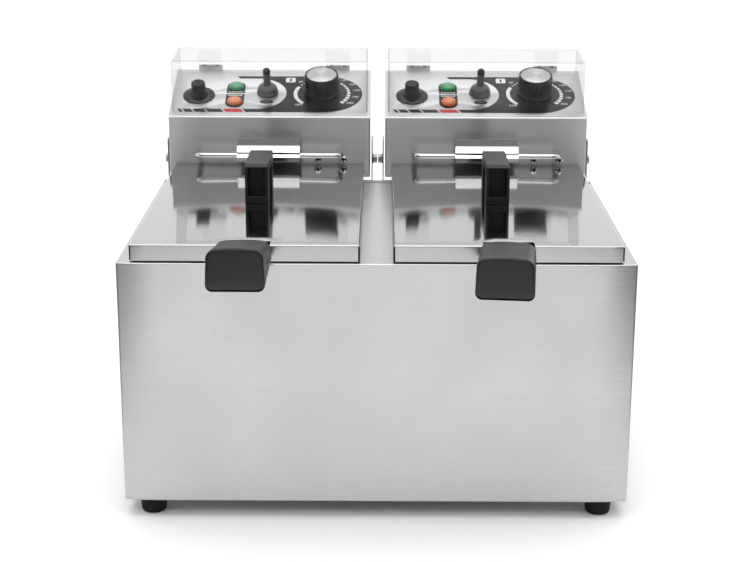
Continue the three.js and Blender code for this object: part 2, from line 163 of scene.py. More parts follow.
# Materials
class Nodes:
    """A node tree and short ways to add to it."""

    def __init__(self, tree):
        self.tree = tree

    def set(self, node, inputs):
        """Gives inputs of a node their values, or links them to other nodes' outputs."""
        for socket, value in inputs.items():
            if isinstance(value, bpy.types.NodeSocket):
                self.tree.links.new(value, node.inputs[socket])
            else:
                node.inputs[socket].default_value = value
        return node

    def node(self, kind, inputs=None, output=0, **settings):
        """The output of a new node."""
        made = given(self.tree.nodes.new(f"ShaderNode{kind}"), **settings)
        return self.set(made, inputs or {}).outputs[output]

    def spread(self, value, low, high, start=0.3, end=0.7, **settings):
        """The value, from start to end, carried over to low to high."""
        ends = {"From Min": start, "From Max": end, "To Min": low, "To Max": high}
        return self.node("MapRange", {"Value": value, **ends}, **settings)

    def ramp(self, value, low, high, start, end):
        """A colour from low to high, by a value from start to end."""
        made = self.tree.nodes.new("ShaderNodeValToRGB")
        for element, colour, position in zip(made.color_ramp.elements, (low, high), (start, end)):
            given(element, position=position, color=(*colour, 1))
        return self.set(made, {"Fac": value}).outputs[0]


class Shader(Nodes):
    """A material with one Principled shader."""

    def __init__(self, name, colour, roughness, metallic=0.0, **sockets):
        self.material = bpy.data.materials.new(name)
        self.material.use_nodes = True
        super().__init__(self.material.node_tree)
        self.surface = self.tree.nodes["Principled BSDF"]
        self.colour = colour
        self.look(Base_Color=(*colour, 1), Roughness=roughness, Metallic=metallic, **sockets)

    def look(self, **sockets):
        """Sets or links the Principled shader's sockets."""
        self.set(self.surface, {name.replace("_", " "): value for name, value in sockets.items()})

    def spot(self):
        return self.node("TexCoord", output="Object")

    def noise(self, scale, detail=2.0, stretch=(1, 1, 1), over=None):
        """Noise from 0 to 1 over the object, or a map, in features of about 1/scale."""
        scaled = {"Vector": over or self.spot(), "Scale": [scale * s for s in stretch]}
        return self.node("TexNoise", {"Vector": self.node("Mapping", scaled), "Scale": 1.0, "Detail": detail})

    def finish(self, texture, rough, cloud, tones, *bumps):
        """Roughness over a texture, tones of the colour over a cloud, and (value, strength, mm) bumps."""
        ends = [[c * tone for c in self.colour] for tone in tones]
        self.look(Base_Color=self.ramp(cloud, *ends, 0.25, 0.75))
        if texture:
            self.look(Roughness=self.spread(texture, *rough))
        normal = {}
        for value, strength, depth in bumps:
            layer = {"Height": value, "Strength": strength, "Distance": depth * MM}
            normal = {"Normal": self.node("Bump", {**layer, **normal})}
        self.look(**normal)
        return self.material


def brushed_steel(name, colour, roughness, anisotropic, streaks=0.05, wave=0.0):
    """Sheet steel brushed along V of the grain map: reflections blur across the grain."""
    shader = Shader(name, colour, roughness, 1.0, Anisotropic=anisotropic)
    grain = shader.node("UVMap", uv_map=GRAIN_MAP)
    shader.look(Tangent=shader.node("Tangent", direction_type="UV_MAP", uv_map=GRAIN_MAP))
    fine = shader.noise(1, 3, (2600, 14, 1), grain)
    long = shader.noise(1, 2, (420, 2.2, 1), grain)
    smudge = shader.spread(shader.noise(9, 3), 0.1, 0.4)
    both = shader.node("Math", {0: fine, 1: 0.5, 2: smudge}, operation="MULTIPLY_ADD")
    bumps = [(fine, 0.06, 0.02)] + ([(shader.noise(6, 1), wave, 1.0)] if wave else [])
    rough = (roughness * 0.85, roughness * 1.15)
    return shader.finish(both, rough, long, (1 - streaks, 1 + streaks * 0.6), *bumps)


def drawn_steel(name, colour, roughness):
    """Bright wire, rod and small turned steel, with faint drawing marks."""
    shader = Shader(name, colour, roughness, 1.0)
    marks = shader.noise(300)
    rough = (roughness * 0.8, roughness * 1.3)
    return shader.finish(marks, rough, shader.noise(30), (0.94, 1.03), (marks, 0.05, 0.03))


def element_sheath(name, colour, roughness):
    """The element's sheath, tinted by heat in bands along its length."""
    shader = Shader(name, colour, roughness, 1.0)
    scale = (shader.noise(900), 0.2, 0.05)
    return shader.finish(shader.noise(120), (0.34, 0.52), shader.noise(14, 4), (0.7, 1.2), scale)


def moulded(name, colour, roughness, grain=1700, depth=0.12, strength=0.35, specular=0.5):
    """Black or coloured moulding with a fine spark-eroded texture."""
    shader = Shader(name, colour, roughness, Specular_IOR_Level=specular)
    texture = shader.noise(grain, 3)
    rough = (roughness * 0.85, roughness * 1.15)
    return shader.finish(texture, rough, shader.noise(40, 4), (0.82, 1.2), (texture, strength, depth))


def turned_aluminium(name, colour, roughness):
    """The knob's disc, faced on a lathe: fine rings round its own Z axis."""
    shader = Shader(name, colour, roughness, 1.0, Anisotropic=0.92, Anisotropic_Rotation=0.25)
    shader.look(Tangent=shader.node("Tangent", direction_type="RADIAL", axis="Z"))
    rings = shader.node("TexWave", {"Vector": shader.spot(), "Scale": 420, "Distortion": 0.6}, "Fac",
                        wave_type="RINGS", rings_direction="Z")
    return shader.finish(rings, (0.3, 0.38), rings, (0.93, 1.0), (rings, 0.15, 0.02))


def lens(name, colour):
    """A clear coloured lens with a moulded prism pattern inside."""
    shader = Shader(name, colour, 0.16, Specular_IOR_Level=0.6, Coat_Weight=0.6, Coat_Roughness=0.05)
    prisms = shader.node("TexVoronoi", {"Vector": shader.spot(), "Scale": 620, "Randomness": 0.0},
                         distance="CHEBYCHEV")
    return shader.finish(None, None, prisms, (1.5, 0.45), (prisms, 0.5, 0.6))


def clear_sheet(name, clear_tone, edge_tone, gloss_share):
    """Thin clear polycarbonate, which is darker and glossier at grazing angles."""
    shader = Shader(name, (0.97, 0.98, 0.98), 0.05, 1.0)
    haze = shader.noise(25, 3)
    grazing = shader.node("LayerWeight", {"Blend": 0.5}, "Facing")
    grazing = shader.node("Math", {0: grazing, 1: 3}, operation="POWER")
    gloss = shader.node("Math", {0: grazing, 1: gloss_share, 2: 0.01}, operation="MULTIPLY_ADD")
    tone = shader.ramp(grazing, [clear_tone] * 3, [edge_tone] * 3, 0, 1)
    clear = shader.node("BsdfTransparent", {"Color": tone})
    mix = shader.node("MixShader", {"Fac": gloss, 1: clear, 2: shader.surface.outputs["BSDF"]})
    shader.set(shader.tree.nodes["Material Output"], {"Surface": mix})
    return shader.finish(haze, (0.03, 0.07), haze, (0.97, 1.0))


def ink(name, colour, roughness=0.36):
    """Screen-printed ink, with the slight unevenness of its film."""
    shader = Shader(name, colour, roughness, Specular_IOR_Level=0.3)
    film = shader.noise(260, 3)
    return shader.finish(film, (roughness * 0.9, roughness * 1.12), film, (0.9, 1.1), (film, 0.08, 0.05))


# How each look is made, the slot it belongs to, and its values
LOOKS = {
    "satin": (brushed_steel, "satin_steel", (0.545, 0.545, 0.55), 0.3, 0.72, 0.015),
    "bright": (brushed_steel, "bright_steel", (0.46, 0.46, 0.465), 0.07, 0.35, 0.02, 0.04),
    "skirt": (brushed_steel, "bright_steel", (0.46, 0.46, 0.465), 0.3, 0.6, 0.02),
    "face": (brushed_steel, "bright_steel", (0.44, 0.44, 0.445), 0.3, 1.0, 0.06, 0.03),
    "zinc": (brushed_steel, "satin_steel", (0.25, 0.25, 0.252), 0.38, 0.4, 0.05),
    # plate and fold are copies of one steel sheet: plate is lightened, painted light on the hanger plate's
    # front, and fold is darkened, painted shade on its top.
    "plate": (brushed_steel, "bright_steel", (0.78, 0.78, 0.785), 0.1, 0.3, 0.02),
    "fold": (brushed_steel, "bright_steel", (0.3, 0.3, 0.302), 0.16, 0.3, 0.02),
    "label": (brushed_steel, "satin_steel", (0.5, 0.505, 0.51), 0.34, 0.6, 0.02),
    "wire": (drawn_steel, "bright_steel", (0.64, 0.64, 0.65), 0.1),
    "bolt": (drawn_steel, "bright_steel", (0.3, 0.3, 0.305), 0.28),
    # hinge: the steel hinges drawn as a pale non-metal grey, painted light standing in for the bright
    # reflection on their barrels
    "hinge": (moulded, "bright_steel", (0.86, 0.86, 0.86), 0.35, 900, 0.03, 0.1),
    # recess: near black, painted shade for the insides of screw recesses
    "recess": (moulded, "bright_steel", (0.01, 0.01, 0.01), 0.6, 1700, 0.12, 0.35, 0.2),
    "element": (element_sheath, "element_steel", (0.3, 0.29, 0.28), 0.42),
    "phenolic": (moulded, "black_plastic", (0.005, 0.005, 0.0053), 0.42, 1700, 0.12, 0.35, 0.42),
    "gloss": (moulded, "black_plastic", (0.0015, 0.0015, 0.0017), 0.13, 900, 0.03, 0.1, 0.33),
    "rubber": (moulded, "black_rubber", (0.008, 0.008, 0.008), 0.66, 1200, 0.2, 0.4, 0.2),
    "boot": (moulded, "grey_rubber", (0.075, 0.075, 0.077), 0.34, 1500, 0.1, 0.25),
    "disc": (turned_aluminium, "bright_steel", (0.52, 0.52, 0.525), 0.34),
    "green": (lens, "green_lens", (0.004, 0.2, 0.06)),
    "orange": (lens, "orange_lens", (0.48, 0.11, 0.02)),
    "clear": (clear_sheet, "clear_plastic", 0.99, 0.82, 0.16),
    # bend: a less clear copy of the sheet for the cover's bends, painted shade
    "bend": (clear_sheet, "clear_plastic", 0.82, 0.72, 0.1),
    "frosted": (clear_sheet, "clear_plastic", 0.965, 0.9, 0.1),
    "black_ink": (ink, "black_plastic", (0.008, 0.008, 0.0085)),
    "white_ink": (ink, "satin_steel", (0.68, 0.68, 0.67)),
    "grey_ink": (ink, "satin_steel", (0.3, 0.3, 0.3)),
    "red_ink": (ink, "orange_lens", (0.46, 0.025, 0.035)),
}
MATERIALS = {name: make(name, *values) for name, (make, _, *values) in LOOKS.items()}


# Shapes in a plane
def arc(centre, radius, start, end, steps=8):
    """Points round an arc or ellipse, from one angle to another in degrees."""
    rx, ry = radius if isinstance(radius, tuple) else (radius, radius)
    angles = [radians(start + (end - start) * i / steps) for i in range(steps + 1)]
    return [(centre[0] + rx * cos(a), centre[1] + ry * sin(a)) for a in angles]


def circle(centre, radius, steps=32):
    return arc(centre, radius, 0, 360, steps)[:-1]


def rectangle(x0, y0, x1, y1):
    return [(x0, y0), (x1, y0), (x1, y1), (x0, y1)]


def rounded(x0, y0, x1, y1, radius, steps=5):
    corners = rectangle(x0 + radius, y0 + radius, x1 - radius, y1 - radius)
    starts = zip((-90, 0, 90, 180), corners[1:] + corners[:1])
    return [p for start, corner in starts for p in arc(corner, radius, start, start + 90, steps)]


def bent(points, radius, steps=6, closed=False):
    """A path whose corners are bends that start and end the radius away from them."""
    points = [Vector(p) for p in points]
    corners = list(zip(points, points[1:], points[2:]))
    if closed:
        corners = list(zip(points[-1:] + points, points, points[1:] + points[:1]))
    bends = []
    for before, corner, after in corners:
        into = corner + (before - corner).normalized() * radius
        out = corner + (after - corner).normalized() * radius
        for t in (i / steps for i in range(steps + 1)):
            bends.append(into * (1 - t) ** 2 + corner * 2 * t * (1 - t) + out * t * t)
    return bends if closed else [points[0], *bends, points[-1]]


def strip_of(path, thickness):
    """The closed outline of a sheet that follows a plane path, with its thickness on the path's left."""
    inside = []
    for i, point in enumerate(path):
        along = (path[min(i + 1, len(path) - 1)] - path[max(i - 1, 0)]).normalized()
        inside.append(point + Vector((-along.y, along.x)) * thickness)
    return [*path, *reversed(inside)]


# Solids: each shape is a new bmesh, or goes into bm
def loft(rings, looped=False, bm=None):
    """Quads from ring to ring. The ends are capped, or with looped the last ring meets the first."""
    bm = bm or bmesh.new()
    rows = [[bm.verts.new(p) for p in ring] for ring in rings]
    for a, b in list(zip(rows, rows[1:])) + ([(rows[-1], rows[0])] if looped else []):
        for i in range(len(a)):
            j = (i + 1) % len(a)
            bm.faces.new((a[i], a[j], b[j], b[i]))
    if not looped:
        bm.faces.new(rows[0])
        bm.faces.new(reversed(rows[-1]))
    return bm


def prism(outline, x0, x1, bm=None):
    """A closed side outline of (y, z) points, carried across X."""
    return loft([[(x, y, z) for y, z in outline] for x in (x0, x1)], bm=bm)


def block(low, high, bm=None):
    return prism(rectangle(*low[1:], *high[1:]), low[0], high[0], bm)


def folded_strip(low, high, radius, thickness):
    """A strip up a box's back and forwards over its top."""
    path = bent([(high.y, low.z), (high.y, high.z), (low.y, high.z)], radius)
    return prism(strip_of(path, thickness), low.x, high.x)


def turned(profile, segments=48, shape=None, looped=False, bm=None):
    """A solid turned about Z from (radius, z) points. shape(angle, radius, z) may change a radius."""
    angles = [tau * i / segments for i in range(segments)]
    rings = []
    for r, z in profile:
        radii = [shape(a, r, z) if shape else r for a in angles]
        rings.append([(q * cos(a), q * sin(a), z) for q, a in zip(radii, angles)])
    return loft(rings, looped, bm)


def bar(path, radius, sides=12, closed=False, bm=None):
    """A round bar along a path in space."""
    points = [Vector(p) for p in path]
    last = len(points) - 1
    rings, across = [], None
    for i, point in enumerate(points):
        before = points[i - 1] if closed or i else point
        after = points[(i + 1) % len(points)] if closed or i < last else point
        along = (after - before).normalized()
        across = across or along.orthogonal()
        across = (across - along * across.dot(along)).normalized()
        other = along.cross(across)
        turns = [tau * k / sides for k in range(sides)]
        rings.append([point + (across * cos(a) + other * sin(a)) * radius for a in turns])
    return loft(rings, closed, bm)


def from_curve(curve, place, bm=None):
    """A curve or text as a mesh. The curve is dropped."""
    bm = bm or bmesh.new()
    holder = new_object("holder", curve)
    mesh = evaluated(holder)
    mesh.transform(place)
    bm.from_mesh(mesh)
    bpy.data.objects.remove(holder)
    bpy.data.curves.remove(curve)
    bpy.data.meshes.remove(mesh)
    return bm


def plate(outline, holes=(), z0=0.0, z1=1.0, bevel=0.0, bm=None):
    """A flat plate with holes in X and Y, from z0 to z1, with softened edges."""
    curve = given(bpy.data.curves.new("plate", "CURVE"), dimensions="2D", fill_mode="BOTH", offset=-bevel,
                  extrude=(z1 - z0) / 2 - bevel, bevel_depth=bevel, bevel_resolution=1)
    for loop in (outline, *holes):
        spline = curve.splines.new("POLY")
        spline.points.add(len(loop) - 1)
        for point, (x, y) in zip(spline.points, loop):
            point.co = (x, y, 0, 1)
        spline.use_cyclic_u = True
    return from_curve(curve, shift(0, 0, (z0 + z1) / 2), bm)


def merged(*parts):
    """The bmeshes as one."""
    bm = bmesh.new()
    for part in parts:
        mesh = mesh_of(part)
        bm.from_mesh(mesh)
        bpy.data.meshes.remove(mesh)
    return bm


def moved(bm, matrix):
    bmesh.ops.transform(bm, matrix=matrix, verts=bm.verts)
    return bm


def subtract(*parts):
    """The first bmesh less the others."""
    objects = []
    for part in parts:
        face_out(part)
        objects.append(new_object("part", mesh_of(part)))
    for cutter in objects[1:]:
        modify(objects[0], "BOOLEAN", operation="DIFFERENCE", solver="EXACT", object=cutter)
    made = bmesh.new()
    made.from_mesh(evaluated(objects[0]))
    for part in objects:
        bpy.data.meshes.remove(part.data)
    return made


def round_off(bm, edges, radius):
    """Rounds the bends of a folded sheet."""
    return bmesh.ops.bevel(bm, geom=edges, offset=radius, segments=4, profile=0.5, affect="EDGES")


def pierce(bm, face, loops):
    """Replaces a flat face by one with holes, given as loops of points in space."""
    rim = list(face.edges)
    bm.faces.remove(face)
    for loop in loops:
        corners = [bm.verts.new(p) for p in loop]
        rim += [bm.edges.new((a, b)) for a, b in zip(corners, corners[1:] + corners[:1])]
    bmesh.ops.triangle_fill(bm, edges=rim, use_beauty=True, use_dissolve=True)


def widest(bm, axis, sign):
    """The largest face that looks along an axis."""
    return max((f for f in bm.faces if f.normal[axis] * sign > 0.99), key=lambda f: f.calc_area())


def hexagon(angle, radius, z=0):
    """A hexagon's radius, from its radius across the corners."""
    step = tau / 6
    return radius * cos(step / 2) / cos(angle % step - step / 2)


def screw_head(radius, height):
    """A pan head with a cross recess, standing on Z = 0. Faces inside the recess take its second look, near
    black: painted shade.
    """
    steps, segments = 14, 48
    arm, width, depth = radius * 0.62, radius * 0.12, height * 0.95
    rings = [[(x, y, 0) for x, y in circle((0, 0), radius, segments)]]
    sunk = []
    for k in range(steps + 1):
        share = 1 - k / (steps + 0.5)
        ring = []
        for i in range(segments):
            angle = tau * i / segments
            x, y = radius * share * cos(angle), radius * share * sin(angle)
            z = height * (1 - 0.5 * share ** 2) if share < 0.98 else height * 0.45
            near, far = sorted((abs(x), abs(y)))
            if near < width * 1.3 and far < arm:
                sunk.append((k + 1) * segments + i)
                z -= depth * min(1, (arm - far) / (arm * 0.2)) * (1 if near < width else 0.55)
            ring.append((x, y, z))
        rings.append(ring)
    bm = loft(rings)
    corners = list(bm.verts)
    dark = {corners[index] for index in sunk}
    # Faces sunk into the cross take material 1, near-black painted shade for the dark inside the recess.
    for face in bm.faces:
        if sum(v in dark for v in face.verts) > 2:
            face.material_index = 1
    return bm


WAYS = {"front": rot("X", 90), "back": rot("X", -90), "right": rot("Y", 90), "left": rot("Y", -90),
        "down": rot("X", 180)}


def facing(point, way):
    """Puts a piece that stands on Z = 0 on a face that looks one way."""
    return Matrix.Translation(point) @ WAYS[way]


def screws(radius, height, way, spots):
    return merged(*(moved(screw_head(radius, height), facing(spot, way)) for spot in spots))


# Studio
def make_camera():
    """A long lens, 1.6 m in front of the casing and looking down at it by 16 degrees."""
    data = given(bpy.data.cameras.new("camera"), sensor_width=36, lens=76.8)
    camera = new_object("camera", data)
    spot = shift(0.0026, FRONT_Y - 1.6164, DECK_Z + 0.4495)
    camera.matrix_world = spot @ (rot("Z", 0.152) @ rot("X", 90 - 16.142)) @ rot("Z", 0.207)
    bpy.context.scene.camera = camera


def add_stage(name, bm, look, grey, roughness, scale, tones, **settings):
    """A thing in the studio that isn't part of the object."""
    mesh = mesh_of(bm, name)
    shader = Shader(look, (grey, grey, grey), roughness)
    mesh.materials.append(shader.finish(None, None, shader.noise(scale), tones))
    given(new_object(name, mesh), **settings)


def make_floor():
    bm = bmesh.new()
    bmesh.ops.create_grid(bm, x_segments=8, y_segments=8, size=20)
    add_stage("floor", bm, "floor_paper", 0.92, 0.9, 3, (0.995, 1.0), location=(0, 0, -0.0005))


def make_card(name, x):
    """A dark card beside the view, which only reflections show."""
    bm = bmesh.new()
    bm.faces.new([bm.verts.new((x, y, z)) for y, z in rectangle(FRONT_Y - 1.3, 0, FRONT_Y - 0.08, 0.5)])
    add_stage(name, bm, "dark_felt", 0.02, 0.95, 40, (0.9, 1.1), visible_camera=False, visible_diffuse=False,
              visible_shadow=False, visible_transmission=False)


def make_light(name, size, power, spot, target, **settings):
    data = given(bpy.data.lights.new(name, "AREA"), shape="RECTANGLE", energy=power)
    data.size, data.size_y = size
    aim = (Vector(target) - Vector(spot)).to_track_quat("-Z", "Y").to_euler()
    given(new_object(name, data), location=spot, rotation_euler=aim, **settings)


def make_world():
    """A pale room, dimmer low down in front of the object, where the camera and its stand would be."""
    world = bpy.data.worlds.new("studio")
    bpy.context.scene.world = world
    world.use_nodes = True
    room = Nodes(world.node_tree)
    split = room.tree.nodes.new("ShaderNodeSeparateXYZ")
    _, y, z = room.set(split, {0: room.node("TexCoord", output="Generated")}).outputs

    def smooth(value, start, end, low, high):
        return room.spread(value, low, high, start, end, interpolation_type="SMOOTHSTEP")

    def times(a, b):
        return room.node("Math", {0: a, 1: b}, operation="MULTIPLY")

    walls = smooth(times(smooth(y, 0.2, -0.7, 0, 1), smooth(z, 0.7, 0.35, 0, 1)), 0, 1, 1.1, 0.26)
    light = times(walls, smooth(z, 0.86, 0.95, 1, 2.3))
    white = {"Color": (1, 1, 1, 1)}
    lit = room.set(room.tree.nodes["Background"], {**white, "Strength": light}).outputs[0]
    seen = room.node("LightPath", output="Is Camera Ray")
    mix = room.node("MixShader", {"Fac": seen, 1: lit, 2: room.node("Background", white)})
    room.set(room.tree.nodes["World Output"], {"Surface": mix})


def make_studio():
    make_camera()
    make_floor()
    make_world()
    make_light("top_box", (2.6, 2.2), 11, (0, 0.1, 2.4), (0, 0, 0), visible_glossy=False)
    make_light("front_box", (1.8, 0.42), 6, (-0.1, -1.9, 1.75), (0, 0, 0.3))
    make_card("dark_card_left", -0.5)
    make_card("dark_card_right", 0.5)
    bpy.context.scene.view_settings.view_transform = "Standard"


# Casing
def make_shell(casing, units):
    low, high = casing.box("body_shell")
    bm = block(low, high)
    face_out(bm)
    round_off(bm, [e for e in bm.edges if min(v.co.y for v in e.verts) < high.y - 1], 1.8)
    wells = []
    for unit in units:
        tank_low, tank_high = unit.box("tank")
        middle, rim = unit.place.translation.x / MM, 7.5
        left, right = middle + tank_low.x + rim, middle + tank_high.x - rim
        hole = rounded(left, tank_low.y + rim, right, tank_high.y - rim, 18)
        wells.append([(x, y, high.z) for x, y in hole])
    pierce(bm, widest(bm, 2, 1), wells)
    flange = 12
    under = rectangle(low.x + flange, low.y + flange, high.x - flange, high.y - flange)
    pierce(bm, widest(bm, 2, -1), [[(x, y, low.z) for x, y in under]])
    bm.faces.remove(widest(bm, 1, 1))
    # The front sheet curves back slightly towards its side bends.
    start, stop, depth = 232, high.x, 2.3
    for step in range(9):
        for sign in (-1, 1):
            cut = Vector((sign * (start + (stop - 3 - start) * step / 8), 0, 0))
            parts = [*bm.verts, *bm.edges, *bm.faces]
            bmesh.ops.bisect_plane(bm, geom=parts, plane_co=cut, plane_no=(1, 0, 0))
    for vertex in bm.verts:
        share = max(0, (abs(vertex.co.x) - start) / (stop - start))
        vertex.co.y += depth * share * share * max(0, 1 - (vertex.co.y - low.y) / 10)
    casing.add("casing_shell", bm, "satin", "body_shell", solid=SHEET)


def make_rear_panel(casing):
    low, high = casing.box("rear_panel")
    casing.add("casing_back", folded_strip(low, high, 2, 1.0), "satin", "rear_panel", sharp=30)
    spots = [(x, high.y, z) for x in (-262, -88, 88, 262) for z in (low.z + 12, -16)]
    casing.add("casing_back_screws", screws(3.4, 1.8, "back", spots), SCREW_STEEL_AND_RECESS_SHADE, sharp=40)


def make_bottom(casing):
    low, high = casing.box("bottom_plate")
    middles = [(column * 46, row) for column in range(-4, 5) for row in (120, 200, 280)]
    slots = [rounded(x - 15, y - 2, x + 15, y + 2, 1.9) for x, y in middles]
    bm = plate(rounded(low.x, low.y, high.x, high.y, 3), slots, low.z, high.z, 0.2)
    casing.add("casing_floor", bm, "satin", "bottom_plate", sharp=40)


def make_feet(casing):
    profile = [(3.4, 6), (3.4, 0.9), (4.2, 0.2), (10.8, 0), (12.2, 0.3), (13.1, 1.1), (13.6, 2.4)]
    profile += [(13.9, 5), (14.9, 14), (15.2, 17.5), (15.4, 18.3), (15.4, 20.2), (14.6, 20.7)]
    for row in ("front", "rear"):
        for side in ("left", "right"):
            node = f"foot_{row}_{side}"
            low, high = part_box(node)
            place = shift((low.x + high.x) / 2, (low.y + high.y) / 2, low.z)
            casing.add(f"rubber_{node}", turned(profile), "rubber", node, place=place, sharp=50)
            casing.add(f"{node}_screw", screws(2.9, 1.6, "down", [(0, 0, 6)]), SCREW_STEEL_AND_RECESS_SHADE, place=place, sharp=40)


# Tank and basket
def inset_ring(low, high, inset, z, corner=12, steps=5):
    """A rounded rectangle at a height, that far inside a box."""
    outline = rounded(low.x + inset, low.y + inset, high.x - inset, high.y - inset, corner, steps)
    return [(x, y, z) for x, y in outline]


def make_tank(unit):
    low, high = unit.box("tank")
    rim, wall, corner, bend, floor_bend = 8, SHEET, 18, 2.5, 12
    bottom, top = low.z, high.z
    inner = [(rim + wall + floor_bend, bottom + wall)]
    for a in (radians(d) for d in (30, 60, 90)):
        inner.append((rim + wall + floor_bend * (1 - sin(a)), bottom + wall + floor_bend * (1 - cos(a))))
    for a in (radians(d) for d in (0, 30, 60, 90)):
        inner.append((rim + wall - bend * (1 - cos(a)), top - bend + bend * sin(a)))
    outer = [(0, top), (0, top - wall), (rim - 0.2, top - wall), (rim, top - wall - 1)]
    outer += [(rim, bottom + floor_bend + wall), (rim + 4, bottom + 4), (rim + floor_bend + wall, bottom)]
    rings = []
    for inset, z in inner + outer:
        radius = max(corner + 2 - 0.8 * min(inset, rim + wall) * 0.25 - max(0, inset - rim - wall) * 0.6, 3)
        rings.append(inset_ring(low, high, inset, z, radius, 8))
    unit.add("oil_tank", loft(rings), "bright", "tank", sharp=50)


def make_basket(unit):
    low, high = unit.box("basket")
    frame_wire, rib_wire, mesh_wire, pitch = 2.4, 1.5, 0.6, 9
    bm = bar(inset_ring(low, high, frame_wire, high.z - frame_wire), frame_wire, 10, True)
    bar(inset_ring(low, high, 3.5, low.z + rib_wire + 2, 10), rib_wire, 8, True, bm)
    bar(inset_ring(low, high, 1.6, (low.z + high.z) / 2), rib_wire, 8, True, bm)
    # Horizontal wires go round inside the upright ones, which pass under the basket in U shapes.
    inset, top = 3.6, high.z - 2 * frame_wire
    bottom = low.z + 3.4
    for k in range(1, int((top - bottom) / pitch) + 1):
        bar(inset_ring(low, high, inset + 0.9, bottom + k * pitch, 9), mesh_wire, 5, True, bm)
    middle, reach_x, reach_y = (low.y + high.y) / 2, high.x - inset, (high.y - low.y) / 2 - inset

    def hoop(point, near, far, bottom, steps, radius, sides):
        path = [point(near, top), point(near, bottom), point(far, bottom), point(far, top)]
        bar(bent(path, 8, steps), radius, sides, bm=bm)

    for k in range(-9, 10):
        hoop(lambda y, z: (k * pitch, y, z), middle - reach_y, middle + reach_y, bottom, 3, mesh_wire, 5)
    for k in range(-13, 14):
        hoop(lambda x, z: (x, middle + k * pitch, z), -reach_x, reach_x, bottom + 1, 3, mesh_wire, 5)
    for x in (-60, 60):
        hoop(lambda y, z: (x, y, z), low.y + 1.6, high.y - 1.6, low.z + 1.6, 4, rib_wire, 8)
    unit.add("wire_basket", bm, "wire", "basket", "basket", slot="wire_steel", sharp=60)
    bm = folded_strip(*unit.box("basket_bracket"), 5, 2)
    unit.add("basket_strip", bm, "wire", "basket_bracket", "basket", slot="wire_steel", bevel=0.5)


# The basket's grip
GRIP_LENGTH = 124
GRIP_BENDS = {"left": (0.0, 0.0), "right": (5.9, 3.8)}   # yaw and pitch of each grip's play, in degrees
GRIP_ROOT = (0, 12, 11)                                   # where a grip meets its strip


def grip_section(half, low, high, crown, seam, steps=7):
    """(x, z) points: a flat bottom, straight sides with a parting seam, and a crowned top."""
    low_radius, high_radius = min(7.5, half * 0.27), min(8.5, (high - low) * 0.3)
    height = low + (high - low) * seam
    right = arc((half - low_radius, low + low_radius), low_radius, -90, 0, steps)
    seam_steps = ((0, -1), (0.1, -0.5), (-0.6, 0), (-0.25, 0.45), (-0.3, 1.4))
    right += [(half + out, height + up) for out, up in seam_steps]
    right += arc((half - high_radius, high - high_radius), high_radius, 0, 90, steps + 2)
    right += [(half * s, high) for s in (0.45, 0.25)]
    left = [(-x, z) for x, z in reversed(right)]
    lift = []
    for x, z in right + [(0, high)] + left + [(0, low)]:
        share = max(0, (z - low) / (high - low))
        bow = crown * (1 - (x / half) ** 2) * share ** 3 if abs(x) < half else 0
        lift.append((x * (1 - 0.055 * share), z + bow))
    return lift


def make_grip(unit):
    rings = []
    steps, nose = 44, 2.6
    for k in range(steps + 1):
        share = k / steps
        shoulder = min(1, max(0, (share - 0.02) / 0.16))
        half = 19.5 + 10.4 * (shoulder * shoulder * (3 - 2 * shoulder))
        low, high = 3.0 - 1.6 * share, 20.5 + 4.5 * min(1, share / 0.1) + 18.6 * max(0, share - 0.1) / 0.9
        shrink = 2.0 * (1 - min(1, share * 18))
        y = GRIP_ROOT[1] - share * (GRIP_LENGTH - nose)
        section = grip_section(half - shrink, low, high - shrink, 1 + 1.6 * share, 0.52 + 0.12 * share)
        rings.append([Vector((x, y, z)) for x, z in section])
    last = rings[-1]
    middle = Vector((0, last[0].y, 23))
    for angle in (15, 30, 45, 60, 75, 90):
        inset = nose * (1 - cos(radians(angle)))
        ring = []
        for p in last:
            out = p - middle
            out.y = 0
            q = p - out.normalized() * inset
            ring.append(Vector((q.x, p.y - nose * sin(radians(angle)), q.z)))
        rings.append(ring)
    rim = rings[-1]
    for share, bulge in ((0.97, 0.05), (0.9, 0.15), (0.7, 0.3), (0.4, 0.4), (0.15, 0.45)):
        y = rim[0].y - bulge
        rings.append([Vector((p.x * share, y, middle.z + (p.z - middle.z) * share)) for p in rim])
    # Below, the front face leans back as a wide bevel.
    for ring in rings[steps + 1:]:
        for p in ring:
            p.y += 0.42 * max(0, 10 - p.z)
    yaw, pitch = GRIP_BENDS[unit.side]
    pivot = shift(*GRIP_ROOT)
    bm = moved(loft(rings), pivot @ (rot("Z", -yaw) @ rot("X", pitch)) @ pivot.inverted())
    unit.add("basket_grip", bm, "phenolic", "basket_handle", "basket", sharp=75)


# Lid
NOTCH_HALF, NOTCH_DEPTH = 27, 17


def spaced(*marks, step=16):
    """Numbers from the first to the last mark, with every mark, at most a step apart."""
    values = [marks[0]]
    for a, b in zip(marks, marks[1:]):
        count = max(1, ceil((b - a) / step))
        values += [a + (b - a) * i / count for i in range(1, count + 1)]
    return values


